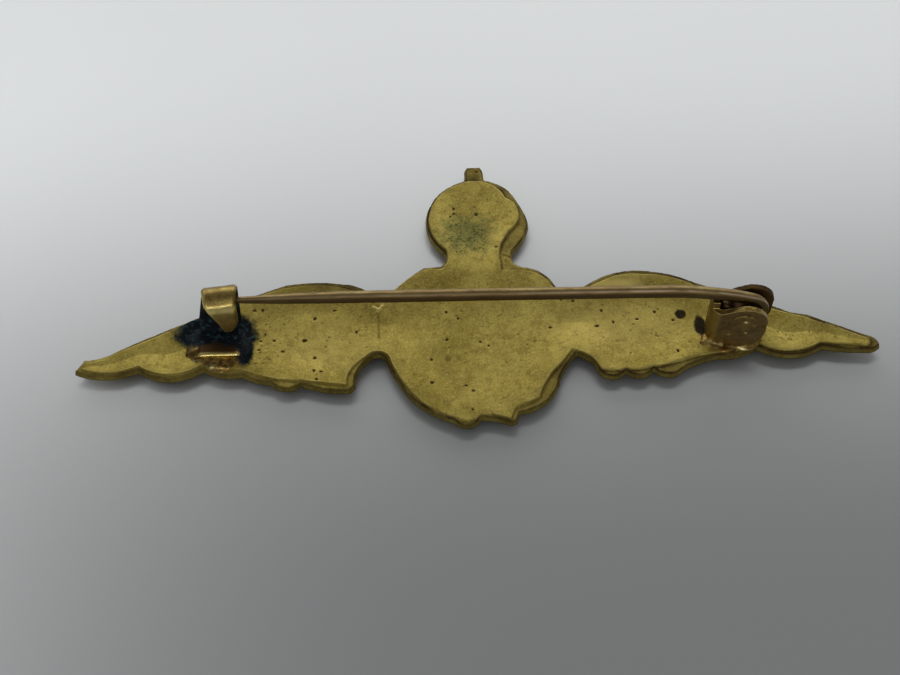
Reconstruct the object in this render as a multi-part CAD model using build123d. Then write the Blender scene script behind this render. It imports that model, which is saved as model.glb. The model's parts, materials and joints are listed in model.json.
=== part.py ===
from build123d import *
import math
import os

# A pilot wings pin, lying face down with its fastening side up. Millimetres, +Z up, +X along the
# wings to the joint, +Y to the crown. The origin is under the middle of the badge, at the plane
# that its front relief rests on.

# Struck plate
relief_depth = 1.0          # front relief, from the resting plane up to the rim
rim_thickness = 0.5
field_step = 0.2            # raised field struck into the back
rim_z = relief_depth + rim_thickness
back_z = rim_z + field_step  # the surface that the findings are soldered to

# Rim outline, clockwise from the left wing tip. Two numbers are the end of a straight run; four
# are an arc, as a point that it passes and its end.
tip = (-30.0, -6.6)
left_wing_top = [
    (-29.4, -5.45), (-28.2, -5.3, -27.0, -4.7), (-24.0, -3.2, -21.2, -1.9), (-17.8, -0.3, -14.5, 0.95),
    (-12.2, 1.1, -10.0, 0.85), (-9.0, 0.6, -8.2, 0.15), (-6.6, -0.4),
]
crown_edge = [
    (-5.1, 1.2, -3.9, 2.15), (-2.5, 2.25), (-2.15, 2.9, -2.45, 3.7), (-3.65, 6.8, -0.35, 11.05),
    (-0.35, 12.2), (-0.15, 12.5), (1.05, 12.5), (1.25, 12.2), (1.3, 11.05), (2.4, 10.6, 3.3, 9.8),
    (4.15, 8.2, 4.65, 6.6), (4.35, 5.0, 3.4, 3.6), (3.15, 2.8, 3.6, 2.05), (4.1, 1.9), (5.4, 1.3, 6.4, -0.1),
]
right_wing_top = [
    (7.3, -0.8), (8.2, -0.3, 9.2, 0.3), (11.3, 1.1, 13.8, 1.05), (15.5, 0.6, 17.1, -0.2), (22.8, -2.75),
    (23.9, -3.3), (25.1, -3.6), (29.1, -5.65), (29.8, -6.15, 30.0, -6.7), (29.6, -7.05, 28.6, -7.15),
]
right_wing_feathers = [
    (27.2, -7.05, 25.6, -6.75), (23.4, -7.45, 20.8, -6.55), (19.3, -7.25, 17.9, -7.3),
    (16.6, -7.6, 15.1, -8.3), (14.1, -8.75, 12.95, -8.2), (12.0, -8.75, 10.9, -8.3), (9.9, -8.75, 8.8, -8.0),
]
wreath_edge = [
    (8.4, -7.2, 7.4, -6.55), (6.6, -7.6, 6.1, -8.6), (5.2, -10.4, 2.9, -11.5), (2.7, -12.2), (2.3, -12.4),
    (0.9, -11.95), (0.1, -11.9), (-0.9, -12.5, -1.9, -12.0), (-3.6, -11.2, -4.9, -10.1),
    (-6.1, -8.2, -6.8, -6.6), (-7.3, -6.1, -8.0, -6.4), (-8.75, -7.3, -9.0, -8.6),
]
left_wing_feathers = [
    (-9.3, -9.05, -9.9, -9.15), (-11.5, -8.95, -13.05, -8.4), (-14.2, -8.8, -15.3, -8.2),
    (-16.4, -7.95, -17.5, -7.4), (-19.0, -7.4, -20.4, -6.8), (-22.7, -7.6, -25.2, -6.7),
    (-27.7, -7.2, -30.0, -6.6),
]

# Raised field of the back, clockwise from the left wing tip. It was struck a little to the left, so
# it leaves a ledge at the right of the crown, the wreath and the wing.
field_start = (-29.3, -6.5)
field_edge = [
    (-29.1, -5.9), (-28.2, -5.8, -27.2, -5.2), (-24.2, -3.75, -21.4, -2.4), (-18.0, -0.8, -14.6, 0.4),
    (-12.3, 0.6, -10.2, 0.3), (-8.4, -0.3), (-6.9, -0.9), (-5.4, 0.7, -4.0, 1.75), (-2.4, 1.8),
    (-2.05, 2.4), (-2.05, 3.6), (-3.4, 6.8, -0.1, 10.75), (0.9, 10.75), (1.9, 10.3, 2.9, 8.9),
    (3.9, 6.9, 3.0, 5.4), (2.3, 4.1), (2.15, 3.3), (2.2, 1.5), (3.3, 1.45), (4.95, 1.0, 5.95, -0.1),
    (7.1, -1.3), (8.2, -0.8, 9.3, -0.25), (11.4, 0.6, 13.7, 0.5), (15.4, 0.15, 16.9, -0.7), (22.6, -3.25),
    (25.0, -4.1), (28.8, -6.0), (29.2, -6.5, 28.4, -6.75), (25.5, -6.45), (23.4, -7.05, 20.9, -6.3),
    (19.0, -6.9), (16.5, -7.2), (13.9, -7.85), (11.8, -8.2, 9.0, -8.1), (8.2, -7.2, 7.1, -6.3),
    (6.4, -7.2, 5.6, -8.0), (4.8, -9.3, 4.4, -10.3), (2.6, -11.2), (2.2, -12.1), (0.9, -11.7),
    (-0.9, -12.2), (-3.6, -11.0, -4.7, -9.9), (-5.9, -8.1, -6.6, -6.3), (-7.4, -5.85, -8.3, -6.3),
    (-9.35, -7.2, -9.75, -8.6), (-13.0, -8.15), (-15.2, -7.9), (-17.4, -7.1), (-20.4, -6.5),
    (-22.7, -7.2, -25.2, -6.4), (-27.7, -6.9, -29.3, -6.5),
]

# Front relief: a plain disc in a ring of leaves, feathers, and a ribbed crown
disc_centre = (0.0, -5.2)
disc_radius = 3.9
wreath_radius = 4.7          # to the middle of the ring of leaves
leaf_count = 22
leaf_size = (1.15, 0.6)      # half its length and half its width
leaf_lean = 60               # degrees from pointing outwards
feathers = [                 # root and end of each flight feather of the right wing
    ((9.6, -1.5), (10.1, -7.4)), ((10.4, -0.9), (12.0, -7.5)), ((11.3, -0.4), (14.0, -7.5)),
    ((12.2, -0.3), (16.2, -6.6)), ((13.2, -0.3), (19.2, -6.0)), ((14.2, -0.4), (23.3, -6.1)),
    ((15.2, -0.8), (28.0, -6.0)),
]
feather_radius = 0.6
root_radius = 0.48
covert_share = 0.45          # coverts reach this far along the flight feathers
stagger = 0.08               # neighbours differ by this much in height
crown_centre = (0.45, 6.9)
crown_rib_radius = 3.2
crown_rib_width = 0.8
inner_rib_size = (1.5, 2.9)
circlet_size = (4.2, 1.3)
circlet_offset = -3.9        # from the middle of the crown
finial_size = (1.1, 1.1)
finial_offset = 4.8
# Each part of the relief stands this far above the resting plane
leaf_low = 0.15
feather_low = 0.45
covert_low = 0.25
rib_low = 0.2
crown_low = 0.1
finial_low = 0.3

# Catch: a strip bent into a hook that is open towards the wearer's side (-Y)
strip = 0.4
catch_x = -18.25
catch_width = 2.4
catch_turn = 6               # degrees that the hook was bent round from its foot
curl_height = 4.7            # curl's axis above the raised field
curl_y = -4.15
curl_radius = 0.9            # to the middle of the strip
foot_x = -19.25
foot_front_y = -6.0
foot_size = (3.3, 0.5)       # along the wings, and thick
heel_radius = 0.6
tongue_lean = 0.1            # the tongue hangs back under the curl
tongue_tip_height = 2.25     # above the raised field

# Joint: a folded bracket with two ears and a stop wall, with a rivet through the ears
rivet_x = 19.5
rivet_y = -5.2
rivet_height = 2.7           # above the raised field
shank_radius = 0.9
head_radius = 1.15
head_height = 0.3
sheet = 0.45
bracket_width = 2.6          # outside the ears
bracket_turn = -6            # degrees that it was soldered off square
bracket_left = -2.45         # from the rivet's axis
floor_right = 0.85
# Each ear's reach to the right of the rivet's axis, its height, and its lower shoulder on the left
front_ear = (1.65, 4.35, -1.75, 3.6)
back_ear = (2.25, 4.2, -1.0, 3.35)
corner_radius = 1.1
stop_height = 4.2
stop_width = 1.3

# Needle: round wire with its end turned into a ring on the rivet
wire_radius = 0.45
ring_clearance = 0.05
ring_radius = shank_radius + ring_clearance + wire_radius
needle_turn = -1.5           # degrees in plan, towards the catch
root_angle = 20.0            # where the wire leaves the ring
run_angle = -0.1             # rise of the straight run
root_bend = 17.5             # radius of the bend between them
run_length = 18.0
point_bend = 400.0           # the tapered end curves very gently down into the hook
point_length = 15.4
point_radius = 0.08
taper_sections = 8
taper_power = 2.7            # it tapers faster towards the point

# Solder, flowed round each foot
solder_height = 0.2          # above the raised field
catch_solder_size = (5.6, 4.0)
catch_solder_centre = (-19.2, -4.6)
joint_solder_size = (5.5, 3.4)
joint_solder_centre = (18.7, -5.2)
solder_corner = 1.3


def closed_face(start, stretches):
    """A face whose outline is made of straight runs and arcs."""
    edges = []
    here = start
    for stretch in stretches:
        end = stretch[-2:]
        if len(stretch) == 4:
            edges.append(ThreePointArc(here, stretch[:2], end))
        else:
            edges.append(Line(here, end))
        here = end
    if math.dist(here, start) > 0.001:
        edges.append(Line(here, start))
    return make_face(edges)


def slab(face, low, high):
    """The face, drawn in plan, as a solid between two heights."""
    return extrude(Pos(0, 0, low) * face, high - low)


def oval_ring(half_width, half_height):
    hole = Ellipse(half_width - crown_rib_width, half_height - crown_rib_width)
    return Ellipse(half_width, half_height) - hole


def front_relief():
    """The struck picture on the front: feathers, leaves round a disc, and a ribbed crown."""
    root_z = relief_depth + 0.1
    relief = slab(Pos(*disc_centre) * Circle(disc_radius), 0, root_z)
    for leaf in range(leaf_count):
        turn = Rot(0, 0, 360 / leaf_count * leaf) * Pos(wreath_radius, 0) * Rot(0, 0, leaf_lean)
        low = leaf_low + stagger * (leaf % 2)
        relief += slab(Pos(*disc_centre) * turn * Ellipse(*leaf_size), low, root_z)
    for side in (-1, 1):
        for number, (root, end) in enumerate(feathers):
            root = Vector(side * root[0], root[1])
            end = Vector(side * end[0], end[1])
            covert_end = root + (end - root) * covert_share
            for far, low in ((end, feather_low), (covert_end, covert_low)):
                ends = Sketch() + [Pos(*root) * Circle(root_radius), Pos(*far) * Circle(feather_radius)]
                relief += slab(make_hull(ends.edges()), low + stagger * (number % 2), root_z)
    middle = Pos(*crown_centre)
    relief += slab(middle * oval_ring(crown_rib_radius, crown_rib_radius), rib_low, root_z)
    relief += slab(middle * oval_ring(*inner_rib_size), crown_low, root_z)
    relief += slab(middle * Pos(0, circlet_offset) * Rectangle(*circlet_size), crown_low, root_z)
    relief += slab(middle * Pos(0, finial_offset) * Rectangle(*finial_size), finial_low, root_z)
    return relief


def rim_face():
    stretches = left_wing_top + crown_edge + right_wing_top + right_wing_feathers
    return closed_face(tip, stretches + wreath_edge + left_wing_feathers)


def badge_plate():
    rim = rim_face()
    field = closed_face(field_start, field_edge)
    plate = slab(rim, relief_depth, rim_z) + slab(field & rim, rim_z - 0.1, back_z)
    return plate + front_relief()


def catch_hook():
    """One strip: a foot forward from the riser, which curls over into a pointed tongue."""
    back = curl_radius
    foot_width, foot_thickness = foot_size
    base = foot_thickness - strip / 2
    spine = Line((-0.2, base), (back - heel_radius, base))
    spine += ThreePointArc(
        (back - heel_radius, base),
        (back - 0.29 * heel_radius, base + 0.29 * heel_radius),
        (back, base + heel_radius),
    )
    spine += Line((back, base + heel_radius), (back, curl_height))
    spine += ThreePointArc((back, curl_height), (0, curl_height + back), (-back, curl_height))
    spine += Line((-back, curl_height), (-back + tongue_lean, tongue_tip_height))
    hook = extrude(Plane.YZ * trace(spine, strip), foot_width, both=True)
    # Seen from the front, the riser narrows upwards and the tongue is a leaf with a rounded tip.
    half = catch_width / 2
    top = curl_height + 2 * curl_radius
    foot_left = foot_x - catch_x - foot_width / 2
    riser = closed_face((foot_left, 0), [
        (foot_left + foot_width, 0), (half, curl_height), (half, top), (-half, top), (-half, curl_height),
    ])
    tongue = closed_face((-half, top), [
        (half, top), (half, curl_height + 0.2), (0.85, 3.6, 0.3, tongue_tip_height + 0.35),
        (-0.15, tongue_tip_height, -0.6, tongue_tip_height + 0.55), (-0.8, 3.7, -0.85, curl_height + 0.2),
    ])
    # The tongue's outline cuts what is in front of the curl's axis, and the riser's what is behind.
    hook &= extrude(Plane.XZ * tongue, top) + extrude(Plane.XZ * riser, -top)
    foot_length = curl_y + back - heel_radius - foot_front_y
    foot = Pos(foot_x, foot_front_y + foot_length / 2, foot_thickness / 2)
    foot *= Box(foot_width, foot_length, foot_thickness)
    return Pos(0, 0, back_z) * (Pos(catch_x, curl_y) * Rot(0, 0, catch_turn) * hook + foot)


def joint_bracket():
    """A strip folded into a floor, two ears and, at the side of the catch, a stop wall."""
    length = back_ear[0] - bracket_left
    middle = (back_ear[0] + bracket_left) / 2
    outer = Pos(middle, 0) * Rectangle(length, bracket_width)
    outer = fillet(outer.vertices().group_by(Axis.X)[0], corner_radius)
    inner = Pos(middle + sheet, 0) * Rectangle(length, bracket_width - 2 * sheet)
    inner = fillet(inner.vertices().group_by(Axis.X)[0], corner_radius - sheet)
    walls = slab(outer - inner, 0, front_ear[1])
    upright = Pos(bracket_left, 0, stop_height / 2) * Box(2 * corner_radius, stop_width, stop_height)
    for (right, top, shoulder_left, shoulder), way in ((front_ear, 1), (back_ear, -1)):
        crest = right - 1.8
        ear = closed_face((bracket_left, 0), [
            (floor_right, 0), (right - 0.1, 1.2, right, 2.5),
            (right - 0.4, top - 0.45, crest + 0.35, top), (crest, top),
            ((crest + shoulder_left) / 2, 0.6 * top + 0.4 * shoulder, shoulder_left, shoulder),
            (bracket_left, shoulder),
        ])
        upright += extrude(Plane.XZ * ear, way * bracket_width)
    bracket = walls & upright
    floor_face = outer & (Pos(floor_right - length / 2, 0) * Rectangle(length, bracket_width))
    bracket += slab(floor_face, 0, sheet)
    hole = Rot(90, 0, 0) * Cylinder(shank_radius, bracket_width + 1)
    return on_joint(bracket - Pos(0, 0, rivet_height) * hole, bracket_turn)


def on_joint(shape, turn):
    """From a frame over the middle of the rivet, with X along the wings, to the badge."""
    return Pos(rivet_x, rivet_y, back_z) * Rot(0, 0, turn) * shape


def joint_rivet():
    """A plain shank with both ends peened over into low domes."""
    half = bracket_width / 2
    dome_radius = (head_radius ** 2 + head_height ** 2) / (2 * head_height)
    rivet = Rot(90, 0, 0) * Cylinder(shank_radius, bracket_width)
    for side in (-1, 1):
        dome = Pos(0, side * (half + head_height - dome_radius), 0) * Sphere(dome_radius)
        rivet += dome & (Pos(0, side * (half + head_height / 2), 0) * Box(3, head_height, 3))
    return on_joint(Pos(0, 0, rivet_height) * rivet, bracket_turn)


def needle():
    """A ring round the rivet, a bend, a straight run and a long taper, all from one wire."""
    start = math.radians(root_angle)
    run = math.radians(run_angle)
    ring = Pos(0, 0, rivet_height) * Rot(90, 0, 0) * Torus(ring_radius, wire_radius)

    # Points in the XZ plane; the wire runs towards -X.
    root = Vector(ring_radius * math.sin(start), 0, rivet_height + ring_radius * math.cos(start))
    centre = root - Vector(math.sin(start), 0, math.cos(start)) * root_bend
    bend_end = centre + Vector(math.sin(run), 0, math.cos(run)) * root_bend
    middle_angle = (start + run) / 2
    bend_middle = centre + Vector(math.sin(middle_angle), 0, math.cos(middle_angle)) * root_bend
    section = Plane(root, z_dir=(-math.cos(start), 0, math.sin(start))) * Circle(wire_radius)
    wire = ring + sweep(section, path=ThreePointArc(root, bend_middle, bend_end))

    along = Vector(-math.cos(run), 0, math.sin(run))
    wire += extrude(Plane(bend_end, z_dir=along) * Circle(wire_radius), run_length)
    run_end = bend_end + along * run_length
    point_centre = run_end - Vector(math.sin(run), 0, math.cos(run)) * point_bend
    sections = Sketch()
    for step in range(taper_sections):
        share = step / (taper_sections - 1)
        angle = run - share * point_length / point_bend
        place = point_centre + Vector(math.sin(angle), 0, math.cos(angle)) * point_bend
        radius = wire_radius + (point_radius - wire_radius) * share ** taper_power
        sections += Plane(place, z_dir=(-math.cos(angle), 0, math.sin(angle))) * Circle(radius)
    wire += loft(sections)
    return on_joint(wire, needle_turn)


def solder(size, centre, plate, finding):
    """A low pad that fills the ledge beside the raised field and stops at the finding."""
    spread = rim_face() & (Pos(*centre) * RectangleRounded(*size, solder_corner))
    return slab(spread, rim_z, back_z + solder_height) - plate - finding


os.makedirs("parts", exist_ok=True)
plate = badge_plate()
hook = catch_hook()
bracket = joint_bracket()
nodes = {
    "badge_plate": plate,
    "catch_hook": hook,
    "catch_solder": solder(catch_solder_size, catch_solder_centre, plate, hook),
    "joint_bracket": bracket,
    "joint_solder": solder(joint_solder_size, joint_solder_centre, plate, bracket),
    "joint_rivet": joint_rivet(),
    "needle": needle(),
}
for node, shape in nodes.items():
    export_step(shape, f"parts/{node}.step")
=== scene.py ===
"""Looks for the pilot wings pin: struck brass badge, face down, with its soldered catch, joint and needle.

Lengths are in millimetres until a mesh is made, which is in metres like the frame.
"""

import json
import math

import bmesh
import bpy
import numpy as np
from mathutils import Matrix, Vector, geometry, kdtree

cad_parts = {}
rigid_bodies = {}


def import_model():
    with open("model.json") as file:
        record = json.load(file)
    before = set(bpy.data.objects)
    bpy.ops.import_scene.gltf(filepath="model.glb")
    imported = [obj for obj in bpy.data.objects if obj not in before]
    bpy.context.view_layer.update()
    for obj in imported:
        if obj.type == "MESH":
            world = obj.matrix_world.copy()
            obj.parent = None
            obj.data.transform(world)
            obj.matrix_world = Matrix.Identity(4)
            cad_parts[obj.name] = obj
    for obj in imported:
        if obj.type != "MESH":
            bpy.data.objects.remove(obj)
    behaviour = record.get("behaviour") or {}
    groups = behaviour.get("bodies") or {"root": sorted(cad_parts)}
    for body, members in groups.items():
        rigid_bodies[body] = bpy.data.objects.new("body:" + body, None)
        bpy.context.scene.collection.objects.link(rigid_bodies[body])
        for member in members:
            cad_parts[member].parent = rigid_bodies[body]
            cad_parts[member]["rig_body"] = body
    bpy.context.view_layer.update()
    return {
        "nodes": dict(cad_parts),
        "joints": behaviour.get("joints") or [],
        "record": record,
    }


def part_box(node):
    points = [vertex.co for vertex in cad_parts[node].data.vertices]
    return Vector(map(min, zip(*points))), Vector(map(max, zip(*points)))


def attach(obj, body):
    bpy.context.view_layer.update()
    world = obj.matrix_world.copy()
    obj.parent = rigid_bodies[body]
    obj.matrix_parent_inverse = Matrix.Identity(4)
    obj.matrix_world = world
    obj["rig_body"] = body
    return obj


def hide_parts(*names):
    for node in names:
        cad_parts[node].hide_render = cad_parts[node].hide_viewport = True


MM = 0.001
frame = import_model()


# ---- places taken from the frame

def box_mm(node):
    """A node's lowest and highest corners."""
    low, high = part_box(node)
    return np.array(low) / MM, np.array(high) / MM


back_z = box_mm("badge_plate")[1][2]  # the raised field, which the findings are soldered to
hinge = frame["joints"][0]
rivet_at = np.array(hinge["pos_m"]) / MM
rivet_axis = np.array(hinge["axis"])
shank_mount = next(m for m in frame["record"]["mounts"] if m["name"] == "needle_shank")
shank_at = np.array(shank_mount["pos_m"]) / MM
shank_axis = np.array(shank_mount["axis"])
wire_radius = shank_mount["dims"]["r_mm"]
shank_length = shank_mount["dims"]["length_mm"]

# The struck plate
relief_depth = 1.0  # front relief, below the rim
rim_z = back_z - 0.2
mesh_pitch = 0.07
edge_radius = 0.05  # the trimmed edge, worn round
edge_rings = (0.025, 0.06, 0.11)  # rows of points that carry the rounding
edge_lean = 0.13  # the edge's wall leans in this far at the back
lean_reach = 0.45  # and the back's points move with it this far from the edge
wall_levels = 4


# ---- small tools

def smooth(low, high, value):
    """0 below low, 1 above high, and an S between them."""
    share = np.clip((value - low) / (high - low), 0, 1)
    return share * share * (3 - 2 * share)


def noise(points, cell, seed):
    """Smooth value noise from -1 to 1, with lumps about as big as cell. Points are (n, 2) or (n, 3)."""
    points = np.asarray(points, float) / cell + 31.7
    base = np.floor(points).astype(np.int64)
    share = points - base
    share = share * share * (3 - 2 * share)
    total = np.zeros(len(points))
    for corner in range(2 ** points.shape[1]):
        weight = np.ones(len(points))
        key = np.full(len(points), seed * 7919, np.int64)
        for axis in range(points.shape[1]):
            step = corner >> axis & 1
            weight *= share[:, axis] if step else 1 - share[:, axis]
            key = key * 1664525 + (base[:, axis] + step) * 1013904223 + 12345
            key = (key ^ (key >> 15)) & 0x7FFFFFFF
        key = (key * 1103515245 + 12345) & 0x7FFFFFFF
        key = (key ^ (key >> 11)) & 0xFFFF
        total += weight * (key / 32767.5 - 1)
    return total


def fractal(points, cell, seed, octaves=3):
    """Noise summed over halving cells, still about -1 to 1."""
    total = sum(noise(points, cell / 2 ** n, seed + n) / 1.8 ** n for n in range(octaves))
    return total / sum(1 / 1.8 ** n for n in range(octaves))


def bump(points, centre, radius):
    """1 at the centre, falling softly to 0 at the radius. The radius may be (x, y)."""
    away = (points[:, :2] - centre) / radius
    return 1 - smooth(0, 1, np.hypot(*away.T))


def along_line(points, start, end):
    """How far points lie along a line from its start, and across it, and the line's length."""
    start = np.array(start, float)
    run = end - start
    length = np.hypot(*run)
    run = run / length
    away = points[:, :2] - start
    return away @ run, away @ np.array([-run[1], run[0]]), length


def band(points, start, end, width):
    """1 along a straight scratch or streak, falling to 0 at its width and at its ends."""
    along, across, length = along_line(points, start, end)
    beside = (1 - smooth(0, width, np.abs(across))) * smooth(0, width, along)
    return beside * (1 - smooth(length - width, length, along))


def ridge(value, at, width):
    """1 where the value is at this number, falling off softly to both sides."""
    return np.exp(-((value - at) / width) ** 2)


def unit(rows):
    """The rows, each made one long."""
    return rows / np.linalg.norm(rows, axis=1)[:, None]


def node_loop(node, z, facing):
    """The longest outline, in plan, where the node's flat face at height z meets its walls."""
    mesh = bmesh.new()
    mesh.from_mesh(frame["nodes"][node].data)
    bmesh.ops.remove_doubles(mesh, verts=mesh.verts, dist=1e-7)
    follow = {}
    for edge in mesh.edges:
        if any(abs(v.co.z / MM - z) > 0.005 for v in edge.verts) or len(edge.link_faces) != 2:
            continue
        tilts = sorted(facing * face.normal.z for face in edge.link_faces)
        if abs(tilts[0]) < 0.2 and tilts[1] > 0.9:
            a, b = edge.verts
            follow.setdefault(a.index, []).append(b.index)
            follow.setdefault(b.index, []).append(a.index)
    places = {v.index: (v.co.x / MM, v.co.y / MM) for v in mesh.verts}
    mesh.free()
    loops = []
    while follow:
        here, loop = next(iter(follow)), []
        while here is not None:
            loop.append(places[here])
            here = next((n for n in follow.pop(here) if n in follow), None)
        loops.append(np.array(loop))
    loop = max(loops, key=lambda loop: np.hypot(*(loop - np.roll(loop, 1, 0)).T).sum())
    ahead = np.roll(loop, -1, 0)
    area = (loop[:, 0] * ahead[:, 1] - loop[:, 1] * ahead[:, 0]).sum()
    return loop if area > 0 else loop[::-1]


def resampled(loop, pitch):
    """The loop with points at an even pitch, and its outward normals. Its corners are kept."""
    points, normals = [], []
    for start, end in zip(loop, np.roll(loop, -1, 0)):
        length = math.dist(start, end)
        count = max(1, round(length / pitch))
        run = (end - start) / length
        for step in range(count):
            points.append(start + (end - start) * step / count)
            normals.append((run[1], -run[0]))
    return np.array(points), unit(np.array(normals) + np.roll(normals, 1, 0))


def tree_of(places):
    """A search tree of places in plan."""
    tree = kdtree.KDTree(len(places))
    for index, place in enumerate(places):
        tree.insert((*place, 0), index)
    tree.balance()
    return tree


class Outline:
    """A closed outline that says how far inside it (positive) or outside it (negative) points are."""

    def __init__(self, loop):
        self.loop = loop
        self.tree = tree_of(resampled(loop, 0.02)[0])

    def inside(self, points):
        """Whether each point is inside, by counting the sides that a line from it crosses."""
        hit = np.zeros(len(points), bool)
        x, y = points[:, 0], points[:, 1]
        for (x0, y0), (x1, y1) in zip(self.loop, np.roll(self.loop, -1, 0)):
            if y0 != y1:
                hit ^= ((y0 > y) != (y1 > y)) & (x < (x1 - x0) * (y - y0) / (y1 - y0) + x0)
        return hit

    def inward(self, points):
        """Directions from the nearest part of the outline, for points inside it."""
        nearest = np.array([tuple(self.tree.find((x, y, 0))[0])[:2] for x, y in points])
        away = points - nearest
        return away / np.maximum(np.linalg.norm(away, axis=1), 1e-6)[:, None]

    def depth(self, points):
        """Distance from the outline, negative outside it."""
        away = np.array([self.tree.find((x, y, 0))[2] for x, y in points[:, :2]])
        return np.where(self.inside(points), away, -away)


def placed(name, data):
    """A new object, in the scene."""
    new = bpy.data.objects.new(name, data)
    bpy.context.scene.collection.objects.link(new)
    return new


def make_piece(name, points, faces, material, body):
    """A piece from points in millimetres. It rides on the body and takes its finish from the slot."""
    mesh = bpy.data.meshes.new(name)
    mesh.from_pydata((np.asarray(points) * MM).tolist(), [], faces)
    mesh.validate()
    mesh.shade_smooth()
    mesh.materials.append(material)
    piece = placed(name, mesh)
    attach(piece, body)
    return piece


def paint(piece, **layers):
    """Numbers at each point of a piece, kept from 0 to 1, for its material."""
    for name, values in layers.items():
        layer = piece.data.attributes.new(name, "FLOAT", "POINT")
        layer.data.foreach_set("value", np.clip(values, 0, 1).astype(np.float32))


# Blue-black flux residue round the catch: centre and reach of each lobe, in plan
soot_lobes = [((-20.5, -3.5), (2.5, 1.7)), ((-18.1, -3.7), (1.9, 1.9)), ((-17.3, -5.3), (0.75, 1.6))]
# Burnt spots beside the joint, in the same way
burnt_spots = [((16.85, -4.4), (0.5, 1.05)), ((15.54, -3.26), (0.46, 0.46))]


def soot_mask(points, lobes=soot_lobes):
    """1 where residue stains the metal, with a speckled edge."""
    ragged = 0.15 * fractal(points[:, :2], 0.9, 101) + 0.1 * fractal(points[:, :2], 0.16, 105, 2)
    mask = np.zeros(len(points))
    for centre, reach in lobes:
        away = (points[:, :2] - centre) / reach
        mask = np.maximum(mask, smooth(-0.06, 0.3, 1 - np.hypot(*away.T) + ragged))
    return mask


# ---- materials

class Nodes:
    """A short way to write a material's nodes. Inputs are numbers, colours or other nodes' sockets."""

    def __init__(self, name):
        self.material = bpy.data.materials.new(name)
        self.material.use_nodes = True
        self.tree = self.material.node_tree
        self.shader = self.tree.nodes["Principled BSDF"]
        where = self.add("TexCoord").outputs["Object"]
        self.place = self.scaled(where, (1 / MM, 1 / MM, 1 / MM))

    def add(self, kind, inputs=(), **settings):
        """A new node, with these inputs and settings."""
        node = self.tree.nodes.new("ShaderNode" + kind)
        for key, value in settings.items():
            setattr(node, key, value)
        for key, value in dict(inputs).items():
            self.put(node.inputs[key], value)
        return node

    def put(self, socket, value):
        if isinstance(value, bpy.types.NodeSocket):
            self.tree.links.new(value, socket)
        else:
            socket.default_value = (*value, 1) if socket.type == "RGBA" else value

    def scaled(self, vector, scale):
        return self.add("Mapping", {"Vector": vector, "Scale": scale}).outputs[0]

    def speckle(self, per_mm, detail, roughness, stretch=(1, 1, 1)):
        """Noise from 0 to 1, with this many lumps in a millimetre."""
        place = self.scaled(self.place, stretch)
        inputs = {"Vector": place, "Scale": per_mm, "Detail": detail, "Roughness": roughness}
        return self.add("TexNoise", inputs).outputs["Fac"]

    def painted(self, name):
        """What paint() put on the piece under this name."""
        return self.add("Attribute", attribute_name=name).outputs["Fac"]

    def math(self, operation, a, b, clamp=False):
        return self.add("Math", {0: a, 1: b}, operation=operation, use_clamp=clamp).outputs[0]

    def ramp(self, value, low, high, start=0.0, end=1.0):
        """The value, remapped so that low gives start and high gives end."""
        inputs = {"Value": value, "From Min": low, "From Max": high, "To Min": start, "To Max": end}
        return self.add("MapRange", inputs, interpolation_type="SMOOTHSTEP").outputs[0]

    def mix(self, share, a, b):
        """Colour a, turning to colour b as share goes to 1."""
        return self.add("Mix", {"Factor": share, "A": a, "B": b}, data_type="RGBA").outputs["Result"]

    def bump(self, height, distance, under=None):
        """Fine relief: the height, 0 to 1, stands for this distance in millimetres."""
        inputs = {"Height": height, "Distance": distance * MM, "Strength": 1.0}
        if under is not None:
            inputs["Normal"] = under
        return self.add("Bump", inputs).outputs[0]

    def shifted(self, value, clamp=False, **amounts):
        """The value, moved by each amount where the paint of its name is full."""
        for name, amount in amounts.items():
            value = self.math("ADD", value, self.math("MULTIPLY", self.painted(name), amount), clamp)
        return value

    def sooted(self, colour):
        """The colour, under blue-black residue flecked with teal where soot is painted."""
        teal = self.ramp(self.speckle(2.6, 4, 0.65), 0.50, 0.68)
        residue = self.mix(teal, (0.006, 0.008, 0.011), (0.03, 0.07, 0.078))
        return self.mix(self.painted("soot"), colour, residue)

    def finish(self, colour, rough, metal, grain, specular=0.5):
        """Puts these on the shader, and returns the material."""
        names = ("Base Color", "Roughness", "Metallic", "Normal", "Specular IOR Level")
        for name, value in zip(names, (colour, rough, metal, grain, specular)):
            self.put(self.shader.inputs[name], value)
        return self.material


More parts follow.
